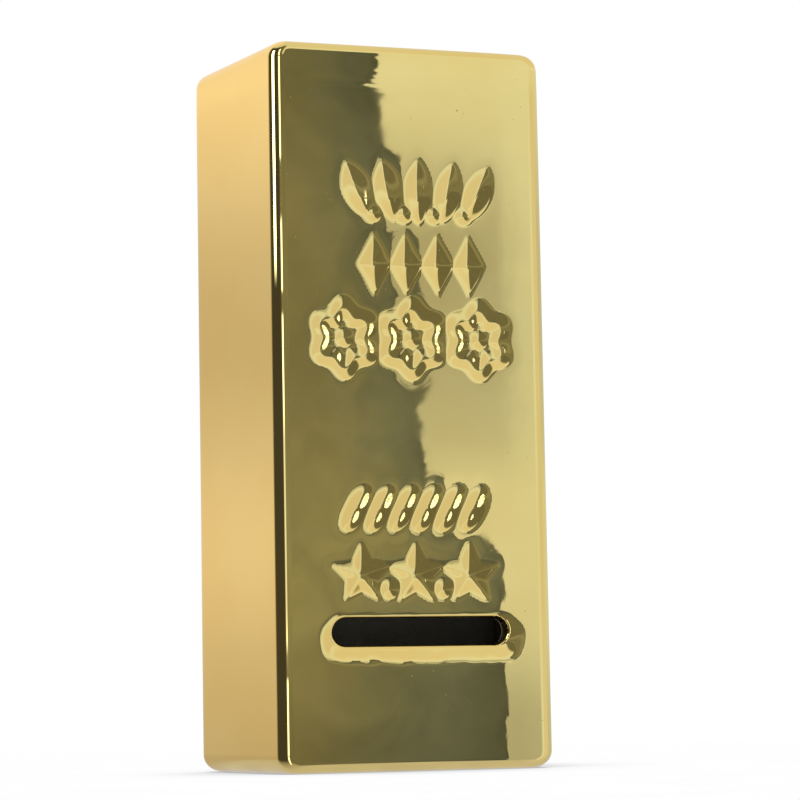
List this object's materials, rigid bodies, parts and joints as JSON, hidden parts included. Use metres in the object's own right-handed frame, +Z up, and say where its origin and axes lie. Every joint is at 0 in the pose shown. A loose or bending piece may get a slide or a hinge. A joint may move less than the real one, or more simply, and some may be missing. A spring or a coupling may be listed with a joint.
{
  "type": "money box",
  "caption": "Hollow glazed ceramic money box shaped like a bullion bar, with sunk ornament and a coin slot in its front, a rubber stopper in its back and bumper pads.",
  "frame": {"origin": "foot of the standing money box, in the middle of its overall width and depth", "axes": "+Z up along the bar, -Y out of the ornamented face with the coin slot, +Y out of the back with the stopper, +X to the right of the ornamented face as a viewer sees it"},
  "size_m": [0.0754, 0.0458, 0.16],
  "materials": {
    "gilded_glaze": "polished",
    "stopper_rubber": "matte",
    "pad_rubber": "matte"
  },
  "bodies": {
    "casting": {"ceramic_body": "gilded_glaze", "bumper_pad_lower_left": "pad_rubber", "bumper_pad_lower_right": "pad_rubber", "bumper_pad_upper_left": "pad_rubber", "bumper_pad_upper_right": "pad_rubber"},
    "stopper": {"stopper": "stopper_rubber"}
  },
  "joints": [
    {"name": "stopper_pull", "type": "slide", "parent": "casting", "child": "stopper", "axis": [0, 1, 0], "range_m": [0, 0.03]}
  ]
}
